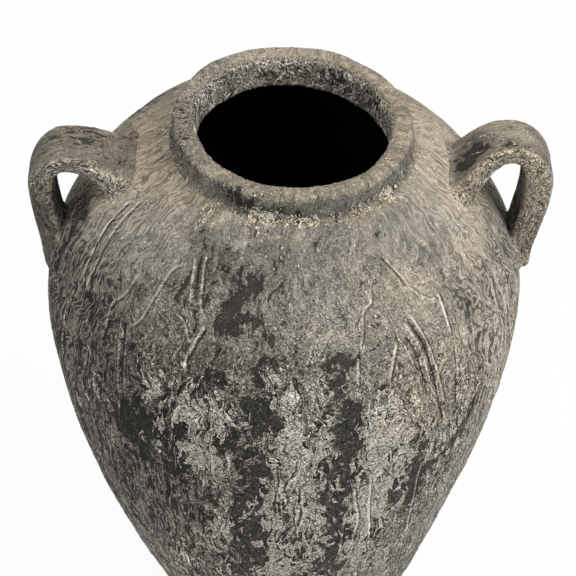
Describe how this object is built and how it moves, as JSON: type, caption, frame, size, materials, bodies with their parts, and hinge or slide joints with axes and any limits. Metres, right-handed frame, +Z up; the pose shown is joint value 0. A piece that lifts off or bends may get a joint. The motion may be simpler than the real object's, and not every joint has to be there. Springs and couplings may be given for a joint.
{
  "type": "two-handled storage jar",
  "caption": "Tall shouldered earthenware jar with a thick raised collar, strap handles on the shoulder and a narrow flat base, under a weathered lime and slip coat.",
  "frame": {"origin": "centre of the base's underside, on the surface the jar stands on", "axes": "+Z up the jar's axis to the rim, +X to the right handle, and the picture looks along +Y from above"},
  "size_m": [0.4186, 0.3946, 0.62],
  "materials": {
    "coated_wall": "smoke-dark earthenware under a worn greige lime and slip wash, matt and gritty",
    "coated_collar": "worn greige wash with dark rubbed patches, matt",
    "coated_handle": "rubbed brown-grey clay with pale wash on its edges, matt",
    "bare_clay": "bare smoke-dark clay, matt"
  },
  "bodies": {
    "root": {"base_slab": "bare_clay", "lower_wall": "coated_wall", "middle_wall": "coated_wall", "shoulder_wall": "coated_wall", "rim_collar": "coated_collar", "collar_foot_coil": "coated_collar", "left_handle": "coated_handle", "right_handle": "coated_handle", "left_upper_lute": "coated_handle", "left_lower_lute": "coated_handle", "right_upper_lute": "coated_handle", "right_lower_lute": "coated_handle", "base_corner_coil": "bare_clay", "lower_seam_coil": "bare_clay", "upper_seam_coil": "bare_clay"}
  },
  "joints": []
}
